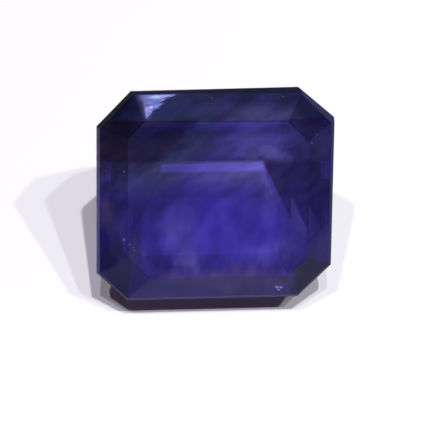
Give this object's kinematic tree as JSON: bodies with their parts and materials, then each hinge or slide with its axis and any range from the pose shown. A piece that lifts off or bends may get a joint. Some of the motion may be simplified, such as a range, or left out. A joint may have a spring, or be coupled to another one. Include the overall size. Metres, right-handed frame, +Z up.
{
  "type": "faceted fluorite",
  "caption": "Loose step-cut fluorite: a rectangular stone with cut corners, a wide flat table, a low crown and a deep stepped underside, lying on a facet of that underside.",
  "frame": {"origin": "on the surface that the stone lies on, under the middle of its box", "axes": "+X along the stone's length and its keel, +Y towards the back, where the stone stands highest, +Z up"},
  "size_m": [0.013, 0.0102, 0.0094],
  "materials": {
    "fluorite": "hand-polished"
  },
  "bodies": {
    "root": {"fluorite_gem": "fluorite"}
  },
  "joints": []
}
